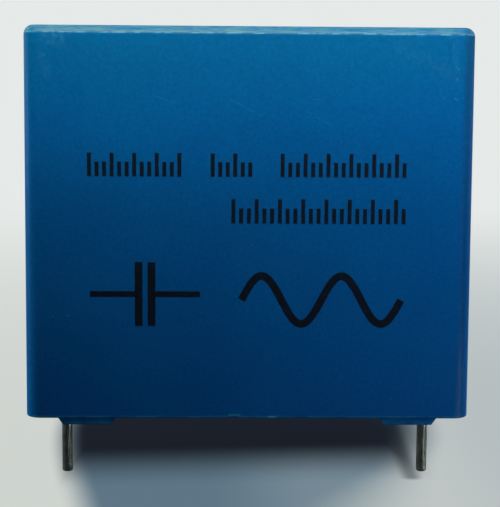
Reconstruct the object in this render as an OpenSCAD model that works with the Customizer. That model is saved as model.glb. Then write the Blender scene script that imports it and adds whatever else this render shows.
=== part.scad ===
// Box film capacitor with two round wire leads.
// It stands on a circuit board: the feet's soles lie in the plane Z = 0, and the origin is
// midway between the two leads. The printed front face looks along -Y, the leads point down.

/* [Case] */
// Length of the case along the line of the leads, at the rim
case_length = 31.5; // [31:0.5:34]
// Depth of the case from its front face to its back face, at the rim
case_depth = 18; // [16:0.5:22]
// Height of the case from its rim to its closed end
case_height = 27.5; // [24:0.5:33]
// Thickness of the side walls at the rim
wall = 1; // [0.8:0.05:1.15]
// Thickness of the closed end
end_wall = 1.1; // [0.8:0.1:1.6]
// Radius of the four upright edges at the rim
edge_radius = 1.15; // [0.9:0.05:1.8]
// Radius of the rounded edge round the closed end
crown_radius = 0.65; // [0.3:0.05:0.75]
// Lean of the moulded walls, in degrees
draft = 0.25; // [0:0.05:0.3]
// Width of the broken outer edge of the rim
rim_break = 0.1; // [0.05:0.01:0.14]
// Radius of the upright corners inside the case, at the rim
cavity_radius = 0.8; // [0.7:0.05:1.2]
// Width of the round mark left by the mould's gate on the closed end
gate_diameter = 2.4; // [1.6:0.1:4]
// Depth of the gate mark
gate_depth = 0.15; // [0.05:0.05:0.4]

/* [Feet] */
// Height of the stand-off feet below the rim
foot_height = 0.5; // [0.3:0.05:1]
// Width of a foot where it joins the rim
foot_width = 4.1; // [3.4:0.1:5]
// Width of a foot's sole
foot_sole = 3.4; // [1.6:0.1:4]
// Distance of a foot's middle from the middle of the case
foot_offset = 11.4; // [4:0.1:12]
// How far a foot is set in from the outer face
foot_setback = 0.15; // [0.15:0.01:0.4]

/* [Leads] */
// Distance between the two leads
lead_pitch = 27.5; // [27:0.1:27.8]
// Diameter of a lead
lead_diameter = 0.8; // [0.6:0.1:0.9]
// Length of a lead below the feet
lead_length = 5.9; // [3:0.1:25]
// Share of the roll's height that the inner end of a lead reaches up to
lead_reach = 0.65; // [0.3:0.05:0.9]

/* [Filling] */
// Depth of the resin's surface inside the rim
resin_recess = 0.6; // [0.4:0.05:1.2]
// Height and width of the resin's creep up the walls and the leads
meniscus = 0.3; // [0.1:0.05:0.35]
// Length of the film roll between its sprayed ends
roll_length = 26; // [25:0.1:26.2]
// Thickness of the flattened film roll
roll_thickness = 14.4; // [10:0.1:15]
// Height of the flattened film roll
roll_height = 22.6; // [16:0.1:22.8]
// Resin between the film roll and the closed end
roll_cover = 1; // [0.5:0.1:1.2]
// Thickness of the sprayed metal on the roll's ends
spray_thickness = 0.5; // [0.45:0.01:0.55]
// Number of stepped bands of film edge on each end of the roll
stagger_bands = 6; // [2:1:6]
// Depth of the steps between the bands of film edge
stagger_depth = 0.25; // [0.1:0.05:0.5]

/* [Hidden] */
LEFT = -1;
RIGHT = 1;
arc_steps = 8;
cut = 0.5;                  // how far a cutting form runs past the face that it opens
foot_root = 0.3;            // how far a foot reaches up into the rim
shoulder_radius = 0.5;      // inside edge round the closed end
gate_nub_diameter = 0.8;
stagger_inset = 0.6;        // from the roll's skin to its first band
stagger_pitch = 1.1;
stagger_width = 0.5;
spray_inset = 0.1;          // the spray stops just short of the roll's skin
rim_z = foot_height;
crown_z = rim_z + case_height;
lead_r = lead_diameter / 2;
cavity_length = case_length - 2 * wall;
cavity_depth = case_depth - 2 * wall;
cavity_height = case_height - end_wall;
roll_top = crown_z - end_wall - roll_cover;
roll_middle = roll_top - roll_height / 2;
roll_bottom = roll_top - roll_height;
lead_top = roll_bottom + lead_reach * roll_height;

$fn = 64;

// Distance of a leaning wall from the corner's axis, at a height above the rim
function wall_at(radius, height) = radius - height * tan(draft);

// Points of a wall's section, from the corner's axis outward. It starts at the bottom of the
// wall and runs up to a rounded shoulder at the top.
function wall_section(radius, bottom, top, shoulder) =
    let (centre_x = wall_at(radius, top - shoulder) - shoulder / cos(draft))
    let (centre_y = top - shoulder)
    concat(
        [[wall_at(radius, bottom), bottom]],
        [for (i = [0:arc_steps])
            let (a = draft + (90 - draft) * i / arc_steps)
            [centre_x + shoulder * cos(a), centre_y + shoulder * sin(a)]],
        [[0, top]]
    );

// Points of a hollow quarter arc that rises from level ground to a wall
function creep_arc(wall_x, level, size) =
    [for (i = [0:arc_steps])
        let (a = 90 - 90 * i / arc_steps)
        [wall_x - size + size * cos(a), level - size + size * sin(a)]];

// A block with leaning walls and rounded upright corners. The same section is extruded along
// each side and turned through a quarter at each corner, so that the two always meet.
module moulded_block(length, depth, radius, section) {
    half_x = length / 2 - radius;
    half_y = depth / 2 - radius;
    bottom = section[0][1];
    top = section[len(section) - 1][1];
    translate([-half_x, -half_y, bottom])
        cube([2 * half_x, 2 * half_y, top - bottom]);
    for (half_turn = [0, 180]) rotate(half_turn) {
        translate([half_x, 0, 0]) rotate([90, 0, 0])
            linear_extrude(2 * half_y, center = true) polygon(section);
        translate([0, half_y, 0]) rotate([90, 0, 90])
            linear_extrude(2 * half_x, center = true) polygon(section);
        translate([half_x, half_y, 0])
            rotate_extrude(angle = 90) polygon(section);
        translate([-half_x, half_y, 0]) rotate(90)
            rotate_extrude(angle = 90) polygon(section);
    }
}

// The outside of the case, with the rim's outer edge broken
module case_skin() {
    rise = wall_section(edge_radius, rim_break, case_height, crown_radius);
    moulded_block(case_length, case_depth, edge_radius,
        concat([[0, 0], [edge_radius - rim_break, 0]], rise));
}

// The inside of the case, run past the rim
module cavity() {
    rise = wall_section(cavity_radius, -cut, cavity_height, shoulder_radius);
    moulded_block(cavity_length, cavity_depth, cavity_radius, concat([[0, -cut]], rise));
}

// One trapezoid foot below the front wall, drawn at the middle of the case
module foot() {
    section = [
        [-foot_sole / 2, 0],
        [foot_sole / 2, 0],
        [foot_width / 2, foot_height],
        [foot_width / 2, foot_height + foot_root],
        [-foot_width / 2, foot_height + foot_root],
        [-foot_width / 2, foot_height]
    ];
    translate([0, wall - case_depth / 2, 0]) rotate([90, 0, 0])
        linear_extrude(wall - foot_setback) polygon(section);
}

// The four feet, two below each long wall
module feet() {
    for (half_turn = [0, 180]) rotate(half_turn)
        for (side = [LEFT, RIGHT]) translate([side * foot_offset, 0, 0]) foot();
}

// The shallow ring that the mould's gate leaves, with the gate's nub standing in it
module gate_mark() {
    translate([0, 0, crown_z - gate_depth]) difference() {
        cylinder(d = gate_diameter, h = gate_depth + cut);
        translate([0, 0, -cut]) cylinder(d = gate_nub_diameter, h = gate_depth + cut);
    }
}

// Moulded plastic box, open towards the board
module case() {
    color("steelblue") union() {
        difference() {
            translate([0, 0, rim_z]) case_skin();
            translate([0, 0, rim_z]) cavity();
            gate_mark();
        }
        feet();
    }
}

// Flattened round outline of the roll, with its skin set in by a distance
module roll_outline(inset) {
    end_r = roll_thickness / 2 - inset;
    straight = roll_height - roll_thickness;
    for (end = [-1, 1]) translate([0, end * straight / 2]) circle(end_r);
    square([2 * end_r, straight], center = true);
}

// Stands a drawing on the right end of the roll, at a distance from the middle of the case
module on_roll_end(distance) {
    translate([distance, 0, roll_middle]) rotate([90, 0, 90]) children();
}

// The stepped bands of film edge, as the sprayed metal fills them
module film_bands() {
    for (i = [0:stagger_bands - 1])
        linear_extrude(stagger_depth) difference() {
            roll_outline(stagger_inset + i * stagger_pitch);
            roll_outline(stagger_inset + i * stagger_pitch + stagger_width);
        }
}

// Metallised film wound on itself and pressed flat, with stepped film edges at both ends
module roll_form() {
    difference() {
        on_roll_end(-roll_length / 2) linear_extrude(roll_length) roll_outline(0);
        for (half_turn = [0, 180]) rotate(half_turn)
            on_roll_end(roll_length / 2 - stagger_depth) film_bands();
    }
}

module film_roll() {
    color("gainsboro") roll_form();
}

// One lead wire, straight from its weld on the roll's end to its cut tip
module lead_form(side) {
    translate([side * lead_pitch / 2, 0, -lead_length])
        cylinder(r = lead_r, h = lead_length + lead_top);
}

module lead_left() {
    color("dimgray") lead_form(LEFT);
}

module lead_right() {
    color("dimgray") lead_form(RIGHT);
}

// Sprayed metal on one end of the roll: it keys into the film edges, and the lead is sunk in it
module contact_form(side) {
    difference() {
        rotate(side == LEFT ? 180 : 0) {
            on_roll_end(roll_length / 2) linear_extrude(spray_thickness) roll_outline(spray_inset);
            on_roll_end(roll_length / 2 - stagger_depth) film_bands();
        }
        lead_form(side);
    }
}

module end_contact_left() {
    color("slategray") contact_form(LEFT);
}

module end_contact_right() {
    color("slategray") contact_form(RIGHT);
}

// Ring of resin that has crept down one lead from the resin's surface
module lead_collar(side) {
    section = concat(
        [[lead_r, 0]],
        [for (p = creep_arc(0, 0, meniscus)) [lead_r - p[0], p[1]]]
    );
    translate([side * lead_pitch / 2, 0, rim_z + resin_recess]) rotate_extrude() polygon(section);
}

// Resin cast round the roll and the leads, which fills the case nearly to its rim
module potting_resin() {
    creep_foot = resin_recess - meniscus;
    creep = creep_arc(wall_at(cavity_radius, creep_foot), resin_recess, meniscus);
    rise = wall_section(cavity_radius, creep_foot, cavity_height, shoulder_radius);
    color("darkslategray") difference() {
        union() {
            translate([0, 0, rim_z])
                moulded_block(cavity_length, cavity_depth, cavity_radius,
                    concat([[0, resin_recess]], creep, rise));
            for (side = [LEFT, RIGHT]) lead_collar(side);
        }
        roll_form();
        for (side = [LEFT, RIGHT]) {
            contact_form(side);
            lead_form(side);
        }
    }
}

case();
potting_resin();
film_roll();
end_contact_left();
end_contact_right();
lead_left();
lead_right();
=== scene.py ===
"""Looks of the box film capacitor: moulded case, print, leads, filling and a plain studio."""

import logging
import math
from abc import ABC, abstractmethod
from dataclasses import dataclass
from typing import Any, Sequence, Union

import bmesh
import bpy
from bpy.types import Material, Mesh, NodeSocket, Object
from mathutils import Matrix, Vector


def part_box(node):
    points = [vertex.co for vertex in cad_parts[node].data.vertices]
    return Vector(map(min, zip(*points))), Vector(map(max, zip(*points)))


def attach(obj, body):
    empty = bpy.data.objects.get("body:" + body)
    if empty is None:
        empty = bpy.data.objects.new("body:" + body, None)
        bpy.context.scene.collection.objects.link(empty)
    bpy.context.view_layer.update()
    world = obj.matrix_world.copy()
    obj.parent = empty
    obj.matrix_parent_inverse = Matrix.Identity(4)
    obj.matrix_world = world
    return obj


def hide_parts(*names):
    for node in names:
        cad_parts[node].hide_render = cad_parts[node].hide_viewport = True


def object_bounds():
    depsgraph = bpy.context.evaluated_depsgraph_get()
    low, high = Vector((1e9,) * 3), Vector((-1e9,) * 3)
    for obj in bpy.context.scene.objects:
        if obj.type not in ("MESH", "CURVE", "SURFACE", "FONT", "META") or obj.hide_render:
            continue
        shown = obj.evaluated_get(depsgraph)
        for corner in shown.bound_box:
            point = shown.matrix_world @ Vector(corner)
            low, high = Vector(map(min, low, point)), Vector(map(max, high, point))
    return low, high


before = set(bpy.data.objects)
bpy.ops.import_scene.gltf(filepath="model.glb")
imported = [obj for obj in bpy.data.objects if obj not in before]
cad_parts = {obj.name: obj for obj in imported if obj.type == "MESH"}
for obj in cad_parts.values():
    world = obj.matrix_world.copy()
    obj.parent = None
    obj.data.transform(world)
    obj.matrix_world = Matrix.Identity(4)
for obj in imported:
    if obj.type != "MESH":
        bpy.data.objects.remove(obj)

LOG = logging.getLogger("capacitor")
MM = 0.001
CAD_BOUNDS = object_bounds()

BMesh = bmesh.types.BMesh
Operand = Union["Field", float, Sequence[float]]
Colour = tuple[float, float, float, float]
Place = tuple[float, float, float]
Point = tuple[float, float]


# --- data blocks


def placed(name: str, data: bpy.types.ID) -> Object:
    """Puts a mesh, a curve, a light or a camera in the scene, at the origin."""
    made = bpy.data.objects.new(name, data)
    bpy.context.scene.collection.objects.link(made)
    return made


def to_mesh(bm: BMesh, name: str, *materials: Material) -> Mesh:
    """Writes an edited mesh out as a new one with its materials, and frees it."""
    mesh = bpy.data.meshes.new(name)
    for material in materials:
        mesh.materials.append(material)
    bm.to_mesh(mesh)
    bm.free()
    return mesh


# --- node trees


class Field:
    """One output socket of a node tree, with arithmetic that adds the nodes for it."""

    def __init__(self, graph: "Graph", socket: NodeSocket) -> None:
        self.graph = graph
        self.socket = socket

    def __add__(self, other: Operand) -> "Field":
        return self.graph.combine("ADD", self, other)

    __radd__ = __add__

    def __sub__(self, other: Operand) -> "Field":
        return self.graph.combine("SUBTRACT", self, other)

    def __rsub__(self, other: Operand) -> "Field":
        return self.graph.combine("SUBTRACT", other, self)

    def __mul__(self, other: Operand) -> "Field":
        return self.graph.combine("MULTIPLY", self, other)

    __rmul__ = __mul__

    def __truediv__(self, other: Operand) -> "Field":
        return self.graph.combine("DIVIDE", self, other)

    def __rtruediv__(self, other: Operand) -> "Field":
        return self.graph.combine("DIVIDE", other, self)

    def __neg__(self) -> "Field":
        return self * -1.0

    def __abs__(self) -> "Field":
        return self.graph.combine("ABSOLUTE", self)

    def __lt__(self, other: Operand) -> "Field":
        return self.graph.combine("LESS_THAN", self, other)

    def lower(self, other: Operand) -> "Field":
        """The smaller of this and the other."""
        return self.graph.combine("MINIMUM", self, other)

    def upper(self, other: Operand) -> "Field":
        """The larger of this and the other."""
        return self.graph.combine("MAXIMUM", self, other)

    def ramp(self, start: float, end: float) -> "Field":
        """Eases from 0 at start to 1 at end; start may be the larger.

        Args:
            start: the value at which the result is 0.
            end: the value at which the result is 1.

        Returns:
            The eased field, held inside 0 to 1.
        """
        settings = {"interpolation_type": "SMOOTHSTEP"}
        return self.graph.add(
            "ShaderNodeMapRange", settings, {"Value": self, "From Min": start, "From Max": end}
        )[0]

    def between(self, at_zero: Operand, at_one: Operand) -> "Field":
        """Uses this field as the factor between two values or colours."""
        return self.graph.mix(self, at_zero, at_one)

    def parts(self) -> tuple["Field", "Field", "Field"]:
        """The three components of a vector."""
        split = self.graph.add("ShaderNodeSeparateXYZ", {}, {0: self})
        return split[0], split[1], split[2]


class Node:
    """A node that was added, whose outputs are read by name or number."""

    def __init__(self, graph: "Graph", node: bpy.types.Node) -> None:
        self.graph = graph
        self.node = node

    def __getitem__(self, key: Union[int, str]) -> Field:
        return Field(self.graph, self.node.outputs[key])


class Graph:
    """A node tree: one method adds sums, one adds blends and one adds every other node."""

    def __init__(self, tree: bpy.types.NodeTree) -> None:
        self.tree = tree

    @staticmethod
    def kind_of(value: Operand) -> str:
        """VALUE, VECTOR or RGBA, whether the value is a field or a plain number or tuple."""
        if isinstance(value, Field):
            return {"INT": "VALUE", "BOOLEAN": "VALUE"}.get(value.socket.type, value.socket.type)
        if isinstance(value, (int, float)):
            return "VALUE"
        return "RGBA" if len(value) == 4 else "VECTOR"

    def feed(self, socket: NodeSocket, value: Any) -> None:
        """Links a field to an input socket, or sets the socket's own value."""
        if isinstance(value, Field):
            self.tree.links.new(value.socket, socket)
        elif socket.type == "RGBA":
            rgb = (value,) * 3 if isinstance(value, (int, float)) else tuple(value)[:3]
            socket.default_value = (*rgb, 1.0)
        elif socket.type == "VECTOR" and isinstance(value, (int, float)):
            socket.default_value = (value,) * 3
        else:
            socket.default_value = value

    def add(self, kind: str, settings: dict[str, Any], inputs: dict[Union[int, str], Any]) -> Node:
        """Adds any node: its settings first, then its sockets' values and links.

        Args:
            kind: the node's Blender type name.
            settings: attributes of the node, set before its sockets are looked up.
            inputs: a value or a field for each input socket, by name or number.

        Returns:
            The node, whose outputs are read with square brackets.
        """
        node = self.tree.nodes.new(kind)
        for name, value in settings.items():
            setattr(node, name, value)
        for key, value in inputs.items():
            self.feed(node.inputs[key], value)
        return Node(self, node)

    def first(self, kind: str, settings: dict[str, Any], **inputs: Any) -> Field:
        """Adds a node and gives its first output; an underscore stands for a space."""
        named = {key.replace("_", " "): value for key, value in inputs.items()}
        return self.add(kind, settings, named)[0]

    def combine(self, operation: str, *operands: Operand) -> Field:
        """Sums, products and the like, with the node that suits the operands' kind."""
        kinds = [self.kind_of(x) for x in operands]
        if "RGBA" in kinds:
            settings = {"data_type": "RGBA", "blend_type": operation}
            return self.add("ShaderNodeMix", settings, {0: 1.0, 6: operands[0], 7: operands[1]})[2]
        kind = "ShaderNodeVectorMath" if "VECTOR" in kinds else "ShaderNodeMath"
        return self.add(kind, {"operation": operation}, dict(enumerate(operands)))[0]

    def mix(self, factor: Operand, at_zero: Operand, at_one: Operand) -> Field:
        """Blends two numbers, vectors or colours."""
        kinds = {self.kind_of(at_zero), self.kind_of(at_one)}
        if "RGBA" in kinds:
            settings, a, b, out = {"data_type": "RGBA"}, 6, 7, 2
        elif "VECTOR" in kinds:
            settings, a, b, out = {"data_type": "VECTOR"}, 4, 5, 1
        else:
            settings, a, b, out = {"data_type": "FLOAT"}, 2, 3, 0
        return self.add("ShaderNodeMix", settings, {0: factor, a: at_zero, b: at_one})[out]

    def vector(self, x: Operand, y: Operand, z: Operand) -> Field:
        """Three numbers as one vector."""
        return self.add("ShaderNodeCombineXYZ", {}, {0: x, 1: y, 2: z})[0]

    def length(self, vector: Field) -> Field:
        """Length of a vector."""
        return self.add("ShaderNodeVectorMath", {"operation": "LENGTH"}, {0: vector})["Value"]

    def dot(self, a: Operand, b: Operand) -> Field:
        """Dot product of two vectors."""
        return self.add("ShaderNodeVectorMath", {"operation": "DOT_PRODUCT"}, {0: a, 1: b})["Value"]

    def noise(
        self, at: Field, per_mm: float, detail: float = 3.0, roughness: float = 0.55
    ) -> Field:
        """Fractal noise about 0.5 on a position in millimetres."""
        inputs = {"Vector": at, "Scale": per_mm, "Detail": detail, "Roughness": roughness}
        return self.add("ShaderNodeTexNoise", {"noise_dimensions": "3D"}, inputs)[0]


class ShaderGraph(Graph):
    """The nodes of one material."""

    def millimetres(self) -> Field:
        """Where a point lies in the part's frame, in millimetres."""
        return self.add("ShaderNodeTexCoord", {}, {})["Object"] * (1000.0, 1000.0, 1000.0)

    def bump(self, height: Field, depth_mm: float) -> Field:
        """A normal that follows a height of 0 to 1, scaled to a depth."""
        distance = depth_mm * MM
        return self.first("ShaderNodeBump", {}, Strength=1.0, Distance=distance, Height=height)

    def principled(self, **inputs: Any) -> Field:
        """A Principled shader; an underscore in a keyword stands for a space."""
        return self.first("ShaderNodeBsdfPrincipled", {}, **inputs)

    def distance_to_line(self, at: Field, start: Point, end: Point) -> Field:
        """Distance in the XZ plane from a point to a straight line between two points."""
        a = Vector((start[0], 0.0, start[1]))
        run = Vector((end[0], 0.0, end[1])) - a
        away = at - tuple(a)
        share = self.dot(away, tuple(run / run.length_squared)).upper(0.0).lower(1.0)
        nearest = self.add(
            "ShaderNodeVectorMath", {"operation": "SCALE"}, {0: tuple(run), "Scale": share}
        )[0]
        return self.length(away - nearest)


class Generator(Graph):
    """A Geometry Nodes tree with named inputs, run once to give a plain mesh."""

    def __init__(self, name: str) -> None:
        super().__init__(bpy.data.node_groups.new(name, "GeometryNodeTree"))
        self.name = name
        self.given: dict[str, Any] = {}
        self.inlet = self.tree.nodes.new("NodeGroupInput")
        self.tree.interface.new_socket(
            "Geometry", in_out="OUTPUT", socket_type="NodeSocketGeometry"
        )

    def size(self, name: str, value: Any, kind: str = "NodeSocketFloat") -> Field:
        """A named input of the tree and the value it is run with.

        Args:
            name: the input's name.
            value: its value, in metres for a length.
            kind: the socket's type name.

        Returns:
            The input as a field.
        """
        item = self.tree.interface.new_socket(name, in_out="INPUT", socket_type=kind)
        self.given[item.identifier] = value
        socket = next(s for s in self.inlet.outputs if s.identifier == item.identifier)
        return Field(self, socket)

    def shape_of(self, name: str, source: Object) -> Field:
        """The geometry of an object that is one of the tree's named inputs."""
        given = self.size(name, source, "NodeSocketObject")
        return self.add("GeometryNodeObjectInfo", {}, {"Object": given})["Geometry"]

    def made(self, kind: str, mode: str = "", **inputs: Any) -> Field:
        """First output of a node of a kind and mode; an underscore stands for a space."""
        return self.first("GeometryNode" + kind, {"mode": mode} if mode else {}, **inputs)

    def run(self, geometry: Field, material: Material) -> Mesh:
        """Evaluates the tree and keeps its result as a mesh with no modifier.

        Args:
            geometry: what the tree makes.
            material: the material of the whole mesh.

        Returns:
            The plain mesh.
        """
        skin = self.size("Material", material, "NodeSocketMaterial")
        real = self.made("RealizeInstances", Geometry=geometry)
        dressed = self.made("SetMaterial", Geometry=real, Material=skin)
        outlet = self.tree.nodes.new("NodeGroupOutput")
        self.tree.links.new(dressed.socket, outlet.inputs[0])
        carrier = placed(self.name, bpy.data.meshes.new(self.name))
        modifier = carrier.modifiers.new(self.name, "NODES")
        modifier.node_group = self.tree
        for identifier, value in self.given.items():
            modifier[identifier] = value
        evaluated = carrier.evaluated_get(bpy.context.evaluated_depsgraph_get())
        mesh = bpy.data.meshes.new_from_object(evaluated)
        carrier.modifiers.remove(modifier)
        bpy.data.objects.remove(carrier)
        bpy.data.node_groups.remove(self.tree)
        return mesh


# --- finishes


@dataclass(frozen=True)
class Finish(ABC):
    """A procedural material. Patterns are laid out in millimetres of the part's frame."""

    name: str

    @abstractmethod
    def shader(self, graph: ShaderGraph) -> Field:
        """Builds the nodes and returns the shader."""

    def material(self) -> Material:
        """Makes the Blender material."""
        made = bpy.data.materials.new(self.name)
        made.use_nodes = True
        made.node_tree.nodes.clear()
        graph = ShaderGraph(made.node_tree)
        graph.add("ShaderNodeOutputMaterial", {}, {"Surface": self.shader(graph)})
        LOG.info("material %s: %d nodes", self.name, len(made.node_tree.nodes))
        return made


@dataclass(frozen=True)
class Mark:
    """A mark on the front face: a line from start to end, in millimetres of X and Z."""

    start: Point
    end: Point
    width: float
    strength: float


@dataclass(frozen=True)
class CasePlastic(Finish):
    """Satin blue plastic with scuffed edges, fine scratches, a few specks and painted edge light
    and shade.

    half_length, half_depth, rim and crown say where the case's edges are.
    """

    half_length: float
    half_depth: float
    rim: float
    crown: float
    colour: Colour = (0.0008, 0.1, 0.3, 1.0)
    deep: Colour = (0.0008, 0.086, 0.272, 1.0)
    pale: Colour = (0.13, 0.33, 0.37, 1.0)
    # The pale band along the crown edge: part wear, part painted sheen.
    rub_and_sheen: Colour = (0.06, 0.158, 0.205, 1.0)
    # Painted light: a duller, less blue tint for the top of the front.
    top_light_tint: Colour = (0.0005, 0.081, 0.174, 1.0)
    # Colour of chips and specks, and of the painted highlight along the rim edge.
    chip_and_rim_highlight_colour: Colour = (0.04, 0.4, 0.46, 1.0)
    scratches: tuple[Mark, ...] = (
        Mark((-6.67, 23.2), (-5.05, 22.7), 0.05, 0.15),
        Mark((-1.68, 23.15), (0.84, 21.85), 0.05, 0.2),
        Mark((4.0, 22.15), (5.8, 21.15), 0.045, 0.2),
        Mark((4.4, 23.05), (4.95, 23.0), 0.05, 0.18),
        Mark((8.2, 17.0), (9.6, 13.4), 0.03, 0.06),
        Mark((-9.4, 4.4), (-6.6, 5.2), 0.03, 0.06),
    )
    smears: tuple[Mark, ...] = (
        Mark((-13.9, 27.2), (-13.0, 26.95), 0.42, 0.15),
        Mark((-14.3, 26.0), (-13.9, 24.6), 0.3, 0.09),
        Mark((14.0, 27.0), (14.33, 24.2), 0.15, 0.05),
        Mark((10.4, 26.6), (13.9, 24.9), 0.5, 0.05),
    )
    specks: tuple[Mark, ...] = (
        Mark((-13.75, 7.78), (-13.69, 7.78), 0.09, 0.4),
        Mark((-12.72, 7.87), (-12.5, 7.85), 0.07, 0.3),
        Mark((-4.13, 15.75), (-4.1, 15.77), 0.07, 0.3),
        Mark((10.1, 1.95), (10.15, 1.95), 0.08, 0.36),
        Mark((0.2, 12.9), (0.24, 12.88), 0.06, 0.25),
        Mark((14.16, 23.12), (14.35, 23.1), 0.07, 0.28),
        Mark((14.26, 25.3), (14.37, 25.05), 0.08, 0.16),
        Mark((14.28, 24.55), (14.33, 24.4), 0.07, 0.2),
        Mark((14.2, 26.33), (14.31, 26.23), 0.06, 0.12),
        Mark((-14.2, 25.95), (-14.08, 25.9), 0.07, 0.16),
        Mark((-13.55, 27.38), (-13.32, 27.25), 0.1, 0.12),
    )
    chips: tuple[Mark, ...] = (
        Mark((1.5, 0.62), (1.95, 0.62), 0.11, 1.0),
        Mark((-1.35, 0.74), (-0.6, 0.74), 0.12, 0.42),
        Mark((1.95, 0.7), (2.2, 0.78), 0.05, 0.3),
    )

    def marks(self, graph: ShaderGraph, at: Field, marks: Sequence[Mark], soft: float) -> Field:
        """All the marks of one sort as one field.

        Args:
            graph: the material's nodes.
            at: the position, in millimetres, with any waviness added.
            marks: the marks to draw.
            soft: how many widths out a mark's edge fades.

        Returns:
            0 where there is no mark, and up to the strongest mark's strength.
        """
        total: Operand = 0.0
        for mark in marks:
            far = graph.distance_to_line(at, mark.start, mark.end)
            drawn = far.ramp(mark.width * soft, mark.width * 0.3) * mark.strength
            total = drawn.upper(total)
        return total

    def shader(self, graph: ShaderGraph) -> Field:
        """Lays wear, scratches, specks and painted light and shade over the clouded, grained blue.
        """
        at = graph.millimetres()
        x, y, z = at.parts()
        grain = graph.noise(at, 3.9, 4.0)
        cloud = graph.noise(at, 0.09, 3.0)
        worn = graph.noise(at, 0.8, 5.0, 0.7)
        front = y.ramp(-self.half_depth + 0.7, -self.half_depth + 0.5)

        base = cloud.ramp(0.3, 0.72).between(self.deep, self.colour)
        # Painted light: towards the top the front is tinted duller and less blue, as the light
        # falls there.
        top_light_share = z.ramp(20.0, 27.5) * graph.mix(cloud, 0.3, 0.75)
        base = top_light_share.between(base, self.top_light_tint)
        fine = graph.noise(at, 6.0, 2.0)
        base = base * graph.mix(grain, 0.72, 1.28) * graph.mix(fine, 0.84, 1.16)

        in_x, in_y = self.half_length - abs(x), self.half_depth - abs(y)
        under = self.crown - z
        # Painted shade: the rounded upright edges of the front half are darkened, more on the
        # right.
        turned = in_x.ramp(1.2, 0.6) * in_x.ramp(0.12, 0.42)
        turned = turned * (y + self.half_depth).ramp(1.9, 0.9)
        base = base * (1.0 - turned * x.ramp(-12.0, 12.0).between(0.15, 0.32))
        # Crown edge: a pale band along the rounded top edge, part wear and part painted sheen,
        # stronger to the left and weaker at the corners.
        into_top = in_x.lower(in_y).upper(under)
        streaked = graph.noise(graph.vector(x * 0.7, y * 0.7, into_top * 11.0), 1.0, 4.0, 0.7)
        corner = in_x.upper(in_y).ramp(1.3, 0.7)
        crown_edge = into_top.ramp(0.53, 0.44) * streaked.ramp(0.4, 0.59).between(0.12, 1.0)
        crown_edge = crown_edge * x.ramp(-4.0, 5.0).between(1.0, 0.74) * (1.0 - corner * 0.5)
        # lip: pale nicks along the lower border of the crown band; glint: a painted highlight line
        # near the top of the crown.
        lip_gaps = graph.noise(at, 1.2, 5.0, 0.75).ramp(0.44, 0.58)
        glint_gaps = graph.noise(at, 0.7, 5.0, 0.75).ramp(0.48, 0.6)
        lip = abs(into_top - 0.49).ramp(0.07, 0.02) * lip_gaps
        glint = abs(into_top - 0.12).ramp(0.12, 0.03) * glint_gaps
        upright = in_x.upper(in_y).ramp(0.5, 0.3)
        # Painted highlight along the broken edge of the rim, broken up by noise.
        rim_edge = (z - self.rim).ramp(0.24, 0.13) * in_x.lower(in_y).ramp(0.3, 0.1)
        wear = upright * worn.ramp(0.4, 0.62) * 0.07
        nicks_and_glint = (lip * 0.48).upper(glint * 0.5)

        waver = (graph.noise(at, 1.7, 2.0) - 0.5) * 0.16
        flat = graph.vector(x + waver, 0.0, z + waver)
        broken = graph.noise(at, 4.0, 3.0, 0.7).ramp(0.35, 0.6)
        scratch = self.marks(graph, flat, self.scratches, 1.0) * broken
        rub_and_sheen = graph.noise(at, 2.6, 6.0, 0.78).ramp(0.44, 0.66)
        smear = self.marks(graph, flat, self.smears, 1.6) * rub_and_sheen
        speck = self.marks(graph, flat, (*self.specks, *self.chips), 1.0)
        # Scratches, specks and chips, with the painted rim highlight laid over them.
        chip_and_rim_highlight = scratch.upper(speck) * front
        chip_and_rim_highlight = chip_and_rim_highlight.upper(rim_edge * worn.ramp(0.36, 0.6).between(0.08, 0.34))

        along = graph.vector(x * 0.35 + z * 0.2, y * 0.35, z * 1.9 - x * 0.4)
        hair = graph.noise(along, 2.2, 2.0).ramp(0.705, 0.74) * worn.ramp(0.46, 0.6)
        # Pale marks: edge wear, nicks, smears and hairlines, with the painted glint.
        pale = wear.upper(nicks_and_glint).upper(smear * front).upper(hair * 0.09)
        tone = pale.between(crown_edge.between(base, self.rub_and_sheen), self.pale)
        tone = chip_and_rim_highlight.between(tone, self.chip_and_rim_highlight_colour)
        rough = graph.mix(grain, 0.29, 0.36) + pale * 0.3
        height = grain * 0.5 + graph.noise(at, 7.0, 2.0) * 0.35 - pale * 0.4
        return graph.principled(
            Base_Color=tone,
            Roughness=rough,
            Normal=graph.bump(height, 0.0045),
            Specular_IOR_Level=0.32,
        )


@dataclass(frozen=True)
class PrintInk(Finish):
    """Thin dark printing ink, a little uneven where the plastic shows through."""

    colour: Colour = (0.0065, 0.009, 0.015, 1.0)
    thin: Colour = (0.006, 0.02, 0.045, 1.0)

    def shader(self, graph: ShaderGraph) -> Field:
        """Lets a little of the plastic through in patches."""
        at = graph.millimetres()
        patchy = graph.noise(at, 3.5, 4.0, 0.7).ramp(0.48, 0.8)
        return graph.principled(
            Base_Color=patchy.between(self.colour, self.thin),
            Roughness=graph.mix(patchy, 0.42, 0.6),
            Normal=graph.bump(graph.noise(at, 9.0, 2.0), 0.002),
            Specular_IOR_Level=0.4,
        )


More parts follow.
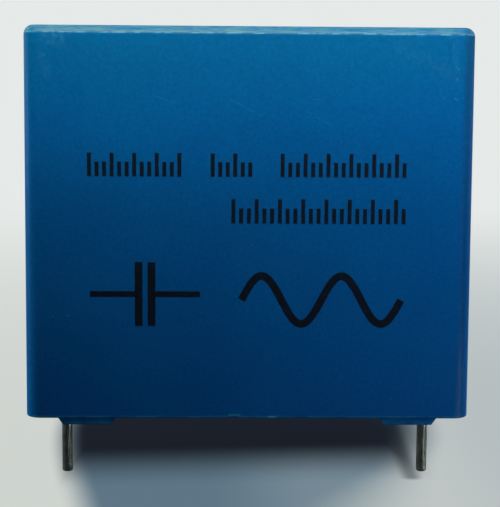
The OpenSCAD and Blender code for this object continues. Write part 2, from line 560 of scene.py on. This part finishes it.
@dataclass(frozen=True)
class TinnedWire(Finish):
    """Dull tinned wire with lengthwise drawing lines and darker stained patches."""

    bright: Colour = (0.42, 0.45, 0.39, 1.0)
    dark: Colour = (0.12, 0.14, 0.12, 1.0)

    def shader(self, graph: ShaderGraph) -> Field:
        """Draws lines along the wire and dulls it in patches."""
        at = graph.millimetres()
        x, y, z = at.parts()
        lines = graph.noise(graph.vector(x * 9.0, y * 9.0, z * 0.35), 1.0, 3.0)
        stain = graph.noise(at, 0.9, 4.0, 0.65)
        dull = (lines * 0.5 + stain * 0.6).ramp(0.36, 0.74)
        return graph.principled(
            Base_Color=dull.between(self.bright, self.dark),
            Metallic=0.8,
            Roughness=graph.mix(dull, 0.34, 0.56),
            Normal=graph.bump(lines * 0.7 + graph.noise(at, 8.0, 3.0) * 0.3, 0.006),
        )


@dataclass(frozen=True)
class CastResin(Finish):
    """Cast epoxy with a soft gloss, shallow ripples and a few pinhole bubbles."""

    colour: Colour = (0.022, 0.034, 0.045, 1.0)
    light: Colour = (0.05, 0.064, 0.075, 1.0)

    def shader(self, graph: ShaderGraph) -> Field:
        """Clouds the resin and sprinkles it with bubbles, darkened inside as painted shade."""
        at = graph.millimetres()
        cloud = graph.noise(at, 0.35, 4.0)
        cells = graph.add(
            "ShaderNodeTexVoronoi", {"feature": "F1"}, {"Vector": at, "Scale": 0.55}
        )["Distance"]
        bubble = cells.ramp(0.09, 0.05)
        height = graph.noise(at, 0.5, 2.0) - bubble * 0.6
        # The bubbles' colour is halved: painted shade in the pits.
        return graph.principled(
            Base_Color=cloud.ramp(0.35, 0.7).between(self.colour, self.light)
            * (1.0 - bubble * 0.5),
            Roughness=graph.mix(cloud, 0.24, 0.4) + bubble * 0.3,
            Normal=graph.bump(height, 0.05),
        )


@dataclass(frozen=True)
class WoundFilm(Finish):
    """Wound metallised film: fine turns round the roll's flattened outline.

    The roll's middle is at middle_z, and its outline is straight so far above and below it.
    """

    middle_z: float
    straight: float
    silver: Colour = (0.62, 0.64, 0.66, 1.0)
    grey: Colour = (0.36, 0.38, 0.41, 1.0)

    def shader(self, graph: ShaderGraph) -> Field:
        """Lines the film up with the turns."""
        at = graph.millimetres()
        _, y, z = at.parts()
        rise = (abs(z - self.middle_z) - self.straight).upper(0.0)
        turn = graph.length(graph.vector(0.0, y, rise))
        turns = graph.noise(graph.vector(turn * 6.0, 0.0, 0.0), 1.0, 2.0)
        return graph.principled(
            Base_Color=turns.ramp(0.3, 0.7).between(self.silver, self.grey),
            Metallic=0.35,
            Roughness=graph.mix(turns, 0.3, 0.48),
            Normal=graph.bump(turns, 0.02),
        )


@dataclass(frozen=True)
class SprayedMetal(Finish):
    """Rough grey sprayed zinc."""

    light: Colour = (0.46, 0.46, 0.44, 1.0)
    dark: Colour = (0.2, 0.2, 0.2, 1.0)

    def shader(self, graph: ShaderGraph) -> Field:
        """Mixes light and dark crumbs of metal."""
        at = graph.millimetres()
        crust = graph.noise(at, 3.0, 6.0, 0.7)
        return graph.principled(
            Base_Color=crust.ramp(0.35, 0.65).between(self.dark, self.light),
            Metallic=0.8,
            Roughness=graph.mix(crust, 0.55, 0.75),
            Normal=graph.bump(crust, 0.09),
        )


@dataclass(frozen=True)
class PaleFloor(Finish):
    """A pale floor with a painted shadow of the object and of its right lead near it, painted shade
    on the paper near the object, and an even tone far off.
    """

    # Painted shadow: the near-black matt sheet shows under and behind the object, and shade_tone
    # and shade_right fill the rest of the shadow.
    shadow_sheet: Colour = (0.03, 0.038, 0.058, 1.0)
    shade_tone: Colour = (0.112, 0.18, 0.238, 1.0)
    shade_right: Colour = (0.178, 0.252, 0.302, 1.0)
    lead_shade: tuple[Point, Point] = ((13.1, 14.0), (12.75, -1.8))
    bounce: Colour = (0.05, 0.06, 0.07, 1.0)
    # Painted shade: the paper is darker near the object than far off, and darker still to its
    # right.
    close_tone: Colour = (0.62, 0.655, 0.625, 1.0)
    close_right: Colour = (0.46, 0.51, 0.52, 1.0)
    even_tone: Colour = (0.79, 0.82, 0.805, 1.0)

    def shader(self, graph: ShaderGraph) -> Field:
        """Shows the painted shadow, the dark matt sheet under the object and the paper to the
        camera, and a plain matt floor to other rays.
        """
        at = graph.millimetres()
        path = graph.add("ShaderNodeLightPath", {}, {})
        seen = path["Is Camera Ray"].upper(path["Is Transmission Ray"])
        x, y, _ = at.parts()
        off = graph.length(at)
        # beside, ahead, behind and half_shade draw the outline of the painted shadow; clear is the
        # floor outside it.
        near = y.ramp(-30.0, 16.0) * 6.1 - 4.45
        right = (x - near * 1.9 - 12.2) / (1.0 + y.ramp(4.0, -12.0) * 1.15)
        beside = (-x - near).ramp(11.9, 15.2).upper(right.ramp(-2.8, 2.8))
        ahead = y.ramp(-9.0, -34.0)
        behind = y.ramp(16.0, 27.0)
        half_shade = (y - x * 0.08).ramp(7.8, -4.4)
        clear = 1.0 - (1.0 - beside) * (1.0 - ahead) * (1.0 - behind)
        fibre = graph.mix(graph.noise(at, 0.6, 5.0, 0.7), 0.985, 1.015)
        matt = graph.principled(
            Base_Color=seen.between(self.bounce, self.shadow_sheet) * fibre,
            Roughness=0.9,
            Specular_IOR_Level=0.1,
        )
        # Painted shade: darker paper near the object and to its right, fading out to the even tone.
        close = x.ramp(0.0, 24.0).between(self.close_tone, self.close_right)
        tone = off.ramp(15.0, 230.0).between(close, self.even_tone)
        # Painted shadow of the right lead: a soft dark streak along a line on the floor.
        behind_lead = graph.distance_to_line(graph.vector(x, 0.0, y), *self.lead_shade)
        shade = x.ramp(-3.5, 6.0).between(self.shade_tone, self.shade_right)
        tone = clear.between(shade, tone) * (1.0 - behind_lead.ramp(1.1, 0.1) * 0.55)
        even = graph.add("ShaderNodeEmission", {}, {"Color": tone, "Strength": 1.0})[0]
        share = clear.upper(half_shade) * seen
        return graph.add("ShaderNodeMixShader", {}, {0: share, 1: matt, 2: even})[0]


# --- pieces


@dataclass(frozen=True)
class Box:
    """The box of a CAD node, in millimetres."""

    low: Vector
    high: Vector

    @classmethod
    def of(cls, node: str) -> "Box":
        """Measures a CAD node."""
        low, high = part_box(node)
        return cls(low / MM, high / MM)

    @property
    def size(self) -> Vector:
        """Length, depth and height."""
        return self.high - self.low

    @property
    def middle(self) -> Vector:
        """Centre of the box."""
        return (self.low + self.high) / 2


def supported(points: Sequence[Point], gap: float) -> list[Point]:
    """Adds points to every long straight stretch, close together near its ends.

    They keep it flat when shaded and keep a nick in its edge from reaching along it.

    Args:
        points: the section's points.
        gap: distance of the first added point from the end of its stretch.

    Returns:
        The points with the added ones between them.
    """
    made = [points[0]]
    for a, b in zip(points, points[1:]):
        run = math.dist(a, b)
        steps = [gap * 2.2**i for i in range(12) if gap * 2.2**i < run * 0.45]
        for along in [*steps, *(run - step for step in reversed(steps))]:
            share = along / run
            made.append((a[0] + (b[0] - a[0]) * share, a[1] + (b[1] - a[1]) * share))
        made.append(b)
    return made


def arc(centre: Point, radius: float, start: float, end: float, steps: int) -> list[Point]:
    """Points on an arc, with its angles in degrees."""
    angles = [math.radians(start + (end - start) * i / steps) for i in range(steps + 1)]
    return [(centre[0] + radius * math.cos(a), centre[1] + radius * math.sin(a)) for a in angles]


def section_object(name: str, points: Sequence[Point]) -> Object:
    """A section as a curve for sweeping: outward offset becomes X and height becomes -Y."""
    curve = bpy.data.curves.new(name, "CURVE")
    curve.dimensions = "3D"
    spline = curve.splines.new("POLY")
    spline.points.add(len(points) - 1)
    for point, (offset, height) in zip(spline.points, points):
        point.co = (offset * MM, -height * MM, 0.0, 1.0)
    return placed(name, curve)


def open_loops(bm: BMesh, height: float) -> list[bmesh.types.BMEdge]:
    """The open edges that lie level at a height, in millimetres."""
    return [
        e
        for e in bm.edges
        if e.is_boundary and all(abs(v.co.z / MM - height) < 1e-3 for v in e.verts)
    ]


def finish_mesh(mesh: Mesh, angle: float) -> None:
    """Smooth shading, with edges sharper than an angle in degrees kept sharp."""
    mesh.shade_smooth()
    mesh.set_sharp_from_angle(angle=math.radians(angle))


@dataclass
class Piece:
    """A finished mesh of the object, and what it stands for in the CAD model."""

    name: str
    mesh: Mesh
    slot: str
    replaces: tuple[str, ...] = ()

    def publish(self) -> Object:
        self.mesh.name = self.name
        made = placed(self.name, self.mesh)
        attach(made, "root")
        if self.replaces:
            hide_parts(*self.replaces)
        LOG.info("piece %s: %d faces", self.name, len(self.mesh.polygons))
        return made


@dataclass
class CaseShell:
    """The moulded box: leaning walls, rounded edges, hollow inside, gate mark and four feet.

    Lengths are in millimetres. Sections run from the outer face at the rim: outward, then height.
    """

    box: Box
    wall: float = 1.0
    end_wall: float = 1.1
    edge_radius: float = 1.15
    crown_radius: float = 0.65
    cavity_radius: float = 0.8
    shoulder_radius: float = 0.5
    draft: float = 0.25
    rim_break: float = 0.1
    rim: float = 0.5
    rim_flat: float = 0.32
    crown_flat: float = 0.06
    support: float = 0.03
    outer_step: float = 0.16
    inner_step: float = 0.3
    corner_points: int = 20
    foot_width: float = 4.1
    foot_sole: float = 3.4
    foot_offset: float = 11.4
    foot_setback: float = 0.15
    foot_root: float = 0.3
    foot_edge: float = 0.06
    gate_radius: float = 1.2
    gate_depth: float = 0.15
    gate_edge: float = 0.03
    nub_radius: float = 0.4
    overlap: float = 0.02
    sharp_from: float = 38.0

    def lean(self, height: float) -> float:
        """How far a wall has leant in at a height above the rim."""
        return height * math.tan(math.radians(self.draft))

    def turning_point(self, top: float, radius: float) -> Point:
        """Centre of the rounding between the leaning wall and a level face at a height."""
        inward = self.lean(top - radius - self.rim) + radius / math.cos(math.radians(self.draft))
        return -inward, top - radius

    def outer_section(self) -> list[Point]:
        """From the rim's flat, round the broken edge, up the wall and over the crown."""
        rim, broken, crown, turn = self.rim, self.rim_break, self.box.high.z, self.crown_radius
        centre = self.turning_point(crown, turn)
        points = [
            (-self.rim_flat, rim),
            *arc((-broken, rim + broken), broken, -90, 0, 4),
            *arc(centre, turn, self.draft, 90, 14),
            (centre[0] - self.crown_flat, crown),
        ]
        return supported(points, self.support)

    def inner_section(self) -> list[Point]:
        """From the rim up the inner wall to the shoulder round the closed end."""
        turn = self.shoulder_radius
        centre = self.turning_point(self.box.high.z - self.end_wall, turn)
        return supported([(0.0, self.rim), *arc(centre, turn, self.draft, 90, 6)], self.support)

    def sweep(
        self,
        name: str,
        inset: float,
        corner: float,
        spacing: float,
        section: Sequence[Point],
        material: Material,
    ) -> Mesh:
        """Carries a section round a rounded rectangle.

        Args:
            name: the tree's name.
            inset: how far in from the outer faces the rectangle is.
            corner: radius of its corners.
            spacing: distance between the steps of the sweep.
            section: the section's points.
            material: the material of the result.

        Returns:
            The swept mesh.
        """
        profile = section_object(name + "_section", section)
        tree = Generator(name)
        outline = tree.made(
            "CurvePrimitiveQuadrilateral",
            "RECTANGLE",
            Width=tree.size("Length", (self.box.size.x - 2 * inset) * MM),
            Height=tree.size("Depth", (self.box.size.y - 2 * inset) * MM),
        )
        count, radius = self.corner_points, tree.size("Corner radius", corner * MM)
        rounded = tree.made("FilletCurve", "POLY", Curve=outline, Count=count, Radius=radius)
        step = tree.size("Step", spacing * MM)
        path = tree.made("ResampleCurve", "LENGTH", Curve=rounded, Length=step)
        shape = tree.shape_of("Section", profile)
        mesh = tree.run(tree.made("CurveToMesh", Curve=path, Profile_Curve=shape), material)
        bpy.data.curves.remove(profile.data)
        return mesh

    def foot_mesh(self) -> Mesh:
        """One trapezoid foot of the front wall, at the middle of the case, with softened edges."""
        half, sole, root = self.foot_width / 2, self.foot_sole / 2, self.rim + self.foot_root
        outline = [(-sole, 0), (sole, 0), (half, self.rim), (half, root)]
        outline += [(-half, root), (-half, self.rim)]
        front = self.box.low.y + self.foot_setback
        back = self.box.low.y + self.wall - self.overlap
        bm = bmesh.new()
        rings = [
            [bm.verts.new((x * MM, y * MM, z * MM)) for x, z in outline] for y in (front, back)
        ]
        bm.faces.new(rings[0])
        bm.faces.new(list(reversed(rings[1])))
        for i in range(len(outline)):
            j = (i + 1) % len(outline)
            bm.faces.new((rings[0][i], rings[1][i], rings[1][j], rings[0][j]))
        low = [e for e in bm.edges if min(v.co.z for v in e.verts) < 0.1 * MM]
        width = self.foot_edge * MM
        bmesh.ops.bevel(bm, geom=low, offset=width, segments=3, profile=0.5, affect="EDGES")
        bmesh.ops.recalc_face_normals(bm, faces=bm.faces)
        return to_mesh(bm, "foot")

    def feet(self, material: Material) -> Mesh:
        """The four feet: pairs of copies of one, the back pair turned round."""
        source = placed("foot", self.foot_mesh())
        tree = Generator("feet")
        foot = tree.shape_of("Foot", source)
        offset = tree.size("Foot offset", self.foot_offset * MM)
        start, step = tree.vector(-offset, 0.0, 0.0), tree.vector(offset * 2.0, 0.0, 0.0)
        pair = tree.made("MeshLine", "OFFSET", Count=2, Start_Location=start, Offset=step)
        rows = [
            tree.made("InstanceOnPoints", Points=pair, Instance=foot, Rotation=(0.0, 0.0, turn))
            for turn in (0.0, math.pi)
        ]
        joined = tree.add("GeometryNodeJoinGeometry", {}, {0: rows[0]})
        tree.feed(joined.node.inputs[0], rows[1])
        mesh = tree.run(joined[0], material)
        bpy.data.meshes.remove(source.data)
        return mesh

    def gate(self, bm: BMesh, steps: int = 72) -> None:
        """Adds the shallow ring and its nub at the middle of the closed end.

        Args:
            bm: the case so far. The ring's outer circle is left open, level with the crown.
            steps: corners of each circle.
        """
        crown, soft, sunk = self.box.high.z, self.gate_edge, self.overlap
        floor, ring, nub = crown - self.gate_depth, self.gate_radius, self.nub_radius
        rings = [
            *((ring + soft, crown), (ring, crown - soft), (ring, floor + soft)),
            *((ring - soft, floor), (nub + soft, floor), (nub, floor + soft)),
            *((nub, crown - soft - sunk), (nub - soft, crown - sunk)),
        ]
        turns = [2 * math.pi * i / steps for i in range(steps)]
        loops = [
            [bm.verts.new((r * math.cos(a) * MM, r * math.sin(a) * MM, z * MM)) for a in turns]
            for r, z in rings
        ]
        for outer, inner in zip(loops, loops[1:]):
            for i in range(steps):
                j = (i + 1) % steps
                bm.faces.new((outer[i], outer[j], inner[j], inner[i]))
        bm.faces.new(loops[-1])

    def nick(self, bm: BMesh) -> None:
        """Presses a shallow notch and a few tiny nicks into the rim, crown and corner edges."""
        crown = self.box.high.z
        dents = [
            ((-0.95, -9.0, 0.5), 0.45, (0.0, 0.02, 0.07)),
            ((3.9, -9.0, 0.5), 0.3, (0.0, 0.02, 0.04)),
            ((9.7, -9.0, 0.5), 0.35, (0.0, 0.02, 0.04)),
            ((11.7, -8.9, crown - 0.5), 0.25, (0.0, 0.03, -0.02)),
            ((13.8, -8.9, crown - 0.5), 0.3, (0.0, 0.03, -0.02)),
            ((-15.6, -8.8, 19.0), 0.35, (0.03, 0.03, 0.0)),
            ((15.2, 8.9, 0.5), 0.4, (-0.03, -0.03, 0.06)),
            ((-5.5, 8.9, crown - 0.4), 0.35, (0.0, -0.03, -0.03)),
        ]
        for place, reach, push in dents:
            centre = Vector(place) * MM
            for v in bm.verts:
                share = 1 - (v.co - centre).length / (reach * MM)
                if share > 0:
                    v.co += Vector(push) * MM * share * share * (3 - 2 * share)

    def piece(self, material: Material) -> Piece:
        """Joins the sweeps, the closed end, the gate mark and the feet into one closed mesh."""
        walls = (
            ("case_outside", 0.0, self.edge_radius, self.outer_step, self.outer_section()),
            ("case_inside", self.wall, self.cavity_radius, self.inner_step, self.inner_section()),
        )
        bm = bmesh.new()
        for wall in walls:
            bm.from_mesh(self.sweep(*wall, material))
        self.gate(bm)
        crown = self.box.high.z
        for height, facing in ((crown, 1), (self.rim, -1), (crown - self.end_wall, -1)):
            edges = open_loops(bm, height)
            bmesh.ops.triangle_fill(bm, use_beauty=True, edges=edges, normal=(0, 0, facing))
        self.nick(bm)
        bmesh.ops.recalc_face_normals(bm, faces=bm.faces)
        LOG.info("case: %d open edges", sum(e.is_boundary for e in bm.edges))
        bm.from_mesh(self.feet(material))
        mesh = to_mesh(bm, "case_shell", material)
        finish_mesh(mesh, self.sharp_from)
        return Piece("case_shell", mesh, "case_plastic", ("case",))


@dataclass(frozen=True)
class TickRow:
    """A row of ticks: the first one's X, their number and pitch, their foot's and head's Z."""

    start: float
    count: int
    pitch: float
    low: float
    high: float


@dataclass
class PrintedMarks:
    """Plain generic print on the front: rows of ticks, a schematic symbol and a wave.

    Places are X and Z in millimetres on the front face.
    """

    shell: CaseShell
    depth: float = 0.02
    raised: float = 0.004
    stroke: float = 0.27
    bold: float = 0.54
    fine: float = 0.405
    short: float = 0.62
    rows: tuple[TickRow, ...] = (
        TickRow(-11.1, 13, 0.52, 17.65, 19.27),
        TickRow(-2.55, 6, 0.52, 17.65, 19.27),
        TickRow(2.3, 17, 0.53, 17.65, 19.27),
        TickRow(-1.1, 23, 0.54, 14.4, 16.1),
    )

    def ticks(self, row: TickRow, material: Material) -> Mesh:
        """Upright ticks side by side, every third one full height."""
        tree = Generator("ticks")
        points = tree.made(
            "MeshLine",
            "OFFSET",
            Count=tree.size("Count", row.count, "NodeSocketInt"),
            Start_Location=(row.start * MM, 0.0, row.low * MM),
            Offset=tree.vector(tree.size("Pitch", row.pitch * MM), 0.0, 0.0),
        )
        third = tree.combine("MODULO", tree.made("InputIndex"), 3.0) < 0.5
        tall = tree.size("Height", (row.high - row.low) * MM)
        width = tree.size("Stroke", self.stroke * MM)
        depth = tree.size("Thickness", self.depth * MM)
        bar = tree.made("MeshCube", Size=tree.vector(width, depth, 1.0))
        lifted = tree.made("Transform", Geometry=bar, Translation=(0.0, 0.0, 0.5))
        scale = tree.vector(1.0, 1.0, third.between(tall * self.short, tall))
        bars = tree.made("InstanceOnPoints", Points=points, Instance=lifted, Scale=scale)
        return tree.run(bars, material)

    def stroke_mesh(self, points: Sequence[Point], width: float, material: Material) -> Mesh:
        """A flat stroke of even width through points, smooth where they are close together."""
        line = section_object("stroke", [(x, -z) for x, z in points])
        tree = Generator("stroke")
        nib = tree.made(
            "CurvePrimitiveQuadrilateral",
            "RECTANGLE",
            Width=tree.size("Width", width * MM),
            Height=tree.size("Thickness", self.depth * MM),
        )
        path = tree.shape_of("Path", line)
        drawn = tree.made("CurveToMesh", Curve=path, Profile_Curve=nib, Fill_Caps=True)
        upright = tree.made("Transform", Geometry=drawn, Rotation=(math.pi / 2, 0.0, 0.0))
        mesh = tree.run(upright, material)
        bpy.data.curves.remove(line.data)
        return mesh

    def symbol(self) -> list[tuple[list[Point], float]]:
        """Two plates and the wires that lead to them, each with its width."""
        level, low, high = 9.4, 7.15, 11.65
        plates = [([(x, low), (x, high)], self.bold) for x in (-7.7, -6.8)]
        wires = [([(a, level), (b, level)], self.fine) for a, b in ((-11.1, -7.75), (-6.75, -3.4))]
        return [*plates, *wires]

    def wave(self, steps: int = 160) -> list[Point]:
        """Two periods of a sine wave, from left to right."""
        left, length, level, swing = -0.5, 11.2, 9.02, 1.7
        return [
            (left + length * i / steps, level + swing * math.sin(4 * math.pi * i / steps))
            for i in range(steps + 1)
        ]

    def piece(self, material: Material) -> Piece:
        """All the print as one thin mesh that lies on the leaning front face."""
        strokes = [*self.symbol(), (self.wave(), self.bold)]
        bm = bmesh.new()
        for row in self.rows:
            bm.from_mesh(self.ticks(row, material))
        for points, width in strokes:
            bm.from_mesh(self.stroke_mesh(points, width, material))
        bmesh.ops.remove_doubles(bm, verts=bm.verts, dist=1e-8)
        bmesh.ops.recalc_face_normals(bm, faces=bm.faces)
        face = self.shell.box.low.y - self.raised
        for v in bm.verts:
            v.co.y += (face + self.shell.lean(v.co.z / MM - self.shell.rim)) * MM
        mesh = to_mesh(bm, "print_marks", material)
        mesh.shade_flat()
        return Piece("print_marks", mesh, "ink")


@dataclass
class WireLead:
    """A straight lead that ends in a tip pinched by the cutter. Lengths in millimetres."""

    side: str
    box: Box
    pinch: float = 0.16
    pinch_height: float = 0.42
    bulge: float = 0.45
    slant: float = 0.05
    taper: float = 0.86
    taper_height: float = 0.09
    turn: float = 0.2
    step: float = 0.06
    facets: int = 40
    sharp_from: float = 40.0

    def wire(self, material: Material) -> Mesh:
        """Sweeps the round wire along Z, a little narrower at its tip."""
        tree = Generator(f"wire_{self.side}")
        start = tree.vector(0.0, 0.0, tree.size("Tip", self.box.low.z * MM))
        end = tree.vector(0.0, 0.0, tree.size("Top", self.box.high.z * MM))
        line = tree.made("CurvePrimitiveLine", Start=start, End=end)
        step = tree.size("Step", self.step * MM)
        path = tree.made("ResampleCurve", "LENGTH", Curve=line, Length=step)
        way = tree.add("GeometryNodeSplineParameter", {}, {})["Length"]
        narrowed = (way / MM).ramp(0.0, self.taper_height).between(self.taper, 1.0)
        radius = tree.size("Radius", self.box.size.x / 2 * MM)
        circle = tree.made("CurvePrimitiveCircle", "RADIUS", Resolution=self.facets, Radius=radius)
        drawn = tree.made(
            "CurveToMesh", Curve=path, Profile_Curve=circle, Scale=narrowed, Fill_Caps=True
        )
        return tree.run(drawn, material)

    def shape_tip(self, mesh: Mesh) -> None:
        """Pinches and slants the tip as a cutter does, and moves the wire to its place."""
        low, middle, tip_radius = self.box.low.z, self.box.middle, self.box.size.x / 2 * self.taper
        turned = Matrix.Rotation(self.turn, 4, "Z")
        for v in mesh.vertices:
            x, y, z = v.co / MM
            share = max(0.0, 1 - (z - low) / self.pinch_height)
            squeeze = self.pinch * share * share
            local = Vector((x * (1 + squeeze * self.bulge), y * (1 - squeeze), 0.0))
            rise = self.slant * share * share * max(0.0, 1 + y / tip_radius)
            v.co = (turned @ local + Vector((middle.x, middle.y, z + rise))) * MM

    def piece(self, material: Material) -> Piece:
        """Sweeps the wire and shapes its tip."""
        mesh = self.wire(material)
        self.shape_tip(mesh)
        bm = bmesh.new()
        bm.from_mesh(mesh)
        bmesh.ops.recalc_face_normals(bm, faces=bm.faces)
        bm.to_mesh(mesh)
        bm.free()
        finish_mesh(mesh, self.sharp_from)
        return Piece(f"wire_{self.side}", mesh, "tinned_wire", (f"lead_{self.side}",))


# --- studio


@dataclass(frozen=True)
class Lamp:
    """A soft rectangular light, in millimetres, watts and degrees.

    A mirrored one gives gloss alone, and any other one everything but gloss.
    """

    name: str
    place: Place
    aim: Place
    width: float
    height: float
    power: float
    spread: float = 180.0
    colour: tuple[float, float, float] = (1.0, 1.0, 1.0)
    mirrored: bool = False

    def build(self) -> None:
        """Adds the light to the scene."""
        data = bpy.data.lights.new(self.name, "AREA")
        data.shape = "RECTANGLE"
        data.size, data.size_y = self.width * MM, self.height * MM
        data.energy, data.spread = self.power, math.radians(self.spread)
        data.color = self.colour
        made = placed(self.name, data)
        made.location = Vector(self.place) * MM
        toward = Vector(self.aim) - Vector(self.place)
        made.rotation_euler = toward.to_track_quat("-Z", "Y").to_euler()
        made.visible_camera = False
        made.visible_glossy, made.visible_diffuse = self.mirrored, not self.mirrored


@dataclass
class Studio:
    """Floor, light and camera."""

    floor_height: float
    lamps: tuple[Lamp, ...] = (
        Lamp("key", (8, -27, 50), (10, -4, 32), 80, 16, 0.0171, 84, (0.85, 1.0, 0.9)),
        Lamp("fill", (46, -46, 8), (6, -9, 8), 14, 14, 0.0074, 180, (0.56, 0.58, 1.0)),
        Lamp("gleam", (66, -44, 4), (4, 0, -5.8), 16, 10, 0.00034, 18, (0.9, 1.0, 0.85), True),
        Lamp("left", (-180, 24, 18), (0, 0, 14), 90, 30, 0.3),
        Lamp("right", (185, 58, 18), (0, 0, 14), 90, 30, 0.2),
        Lamp("back", (-20, 210, 18), (0, 0, 14), 140, 30, 0.16),
    )
    backdrop: Colour = (0.79, 0.82, 0.805, 1.0)
    ambient: Colour = (0.05, 0.054, 0.077, 1.0)
    mirrored_dark: Colour = (0.012, 0.018, 0.022, 1.0)
    mirrored_light: Colour = (0.36, 0.47, 0.52, 1.0)
    mirrored_right: Colour = (0.32, 0.37, 0.3, 1.0)
    floor_radius: float = 6000.0
    eye: Place = (-2.17, -105.83, 24.96)
    tilt: float = -7.447
    roll: float = -0.41
    pan: float = -1.328
    lens: float = 99.34

    def floor(self) -> None:
        """A wide round pale floor at the height of the leads' tips."""
        bm = bmesh.new()
        radius = self.floor_radius * MM
        bmesh.ops.create_circle(bm, cap_ends=True, segments=128, radius=radius)
        for v in bm.verts:
            v.co.z = self.floor_height
        made = placed("floor", to_mesh(bm, "floor", PaleFloor("pale_floor").material()))

    def world(self) -> None:
        """Pale to the camera, and modest and a little cool as light."""
        world = bpy.data.worlds.new("studio")
        bpy.context.scene.world = world
        world.use_nodes = True
        world.node_tree.nodes.clear()
        graph = ShaderGraph(world.node_tree)
        path = graph.add("ShaderNodeLightPath", {}, {})
        right, back, up = graph.add("ShaderNodeTexCoord", {}, {})["Generated"].parts()
        shine = (back.ramp(-0.1, 0.5) * right.ramp(0.4, -0.4).between(0.35, 1.0)).upper(
            up.ramp(0.2, 0.9) * 0.5
        )
        mirrored = shine.between(self.mirrored_dark, self.mirrored_light)
        gleam = right.ramp(0.25, 0.85) * back.ramp(0.35, -0.25)
        mirrored = gleam.between(mirrored, self.mirrored_right)
        tone = path["Is Glossy Ray"].between(self.ambient, mirrored)
        tone = path["Is Camera Ray"].between(tone, self.backdrop)
        sky = graph.add("ShaderNodeBackground", {}, {"Color": tone, "Strength": 1.0})[0]
        graph.add("ShaderNodeOutputWorld", {}, {"Surface": sky})

    def camera(self) -> None:
        """The camera in front of the object, a little above its middle and looking down."""
        data = bpy.data.cameras.new("camera")
        data.lens, data.sensor_width = self.lens, 36.0
        data.clip_start, data.clip_end = 0.005, 20.0
        turn = (
            Matrix.Rotation(math.radians(self.pan), 4, "Z")
            @ Matrix.Rotation(math.radians(self.tilt), 4, "X")
            @ Matrix.Rotation(math.radians(self.roll), 4, "Y")
        )
        upright = Matrix.Rotation(math.pi / 2, 4, "X")
        made = placed("camera", data)
        made.matrix_world = Matrix.Translation(Vector(self.eye) * MM) @ turn @ upright
        bpy.context.scene.camera = made

    def build(self) -> None:
        """Sets up the whole studio."""
        bpy.context.scene.view_settings.view_transform = "Standard"
        self.floor()
        self.world()
        for lamp in self.lamps:
            lamp.build()
        self.camera()


# --- assembly


@dataclass
class Capacitor:
    """The whole object: new pieces for what shows, and finishes for the CAD nodes that stay."""

    case: Box
    roll: Box

    def cad_finishes(self) -> dict[Finish, tuple[str, ...]]:
        """Each finish and the CAD nodes that are shown as they are with it."""
        size = self.roll.size
        return {
            CastResin("resin"): ("potting_resin",),
            WoundFilm("film", self.roll.middle.z, (size.z - size.y) / 2): ("film_roll",),
            SprayedMetal("sprayed_metal"): ("end_contact_left", "end_contact_right"),
        }

    def build(self) -> None:
        """Makes every piece and gives every shown CAD node its material."""
        shell = CaseShell(self.case)
        half = self.case.size / 2
        plastic = CasePlastic(
            "case_plastic", half.x, half.y, rim=shell.rim, crown=self.case.high.z
        ).material()
        ink = PrintInk("ink").material()
        tin = TinnedWire("tinned_wire").material()
        shell.piece(plastic).publish()
        PrintedMarks(shell).piece(ink).publish()
        for side, turn in (("left", 0.35), ("right", -0.9)):
            lead = Box.of(f"lead_{side}")
            WireLead(side, lead, turn=turn).piece(tin).publish()
        for finish, nodes in self.cad_finishes().items():
            material = finish.material()
            for node in nodes:
                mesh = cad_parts[node].data
                mesh.materials.clear()
                mesh.materials.append(material)
                LOG.info("CAD node %s: %s", node, finish.name)


def main() -> None:
    """Builds the object and the studio."""
    logging.basicConfig(level=logging.INFO, format="%(name)s: %(message)s")
    Capacitor(Box.of("case"), Box.of("film_roll")).build()
    Studio(CAD_BOUNDS[0].z).build()


if __name__ == "__main__":
    main()
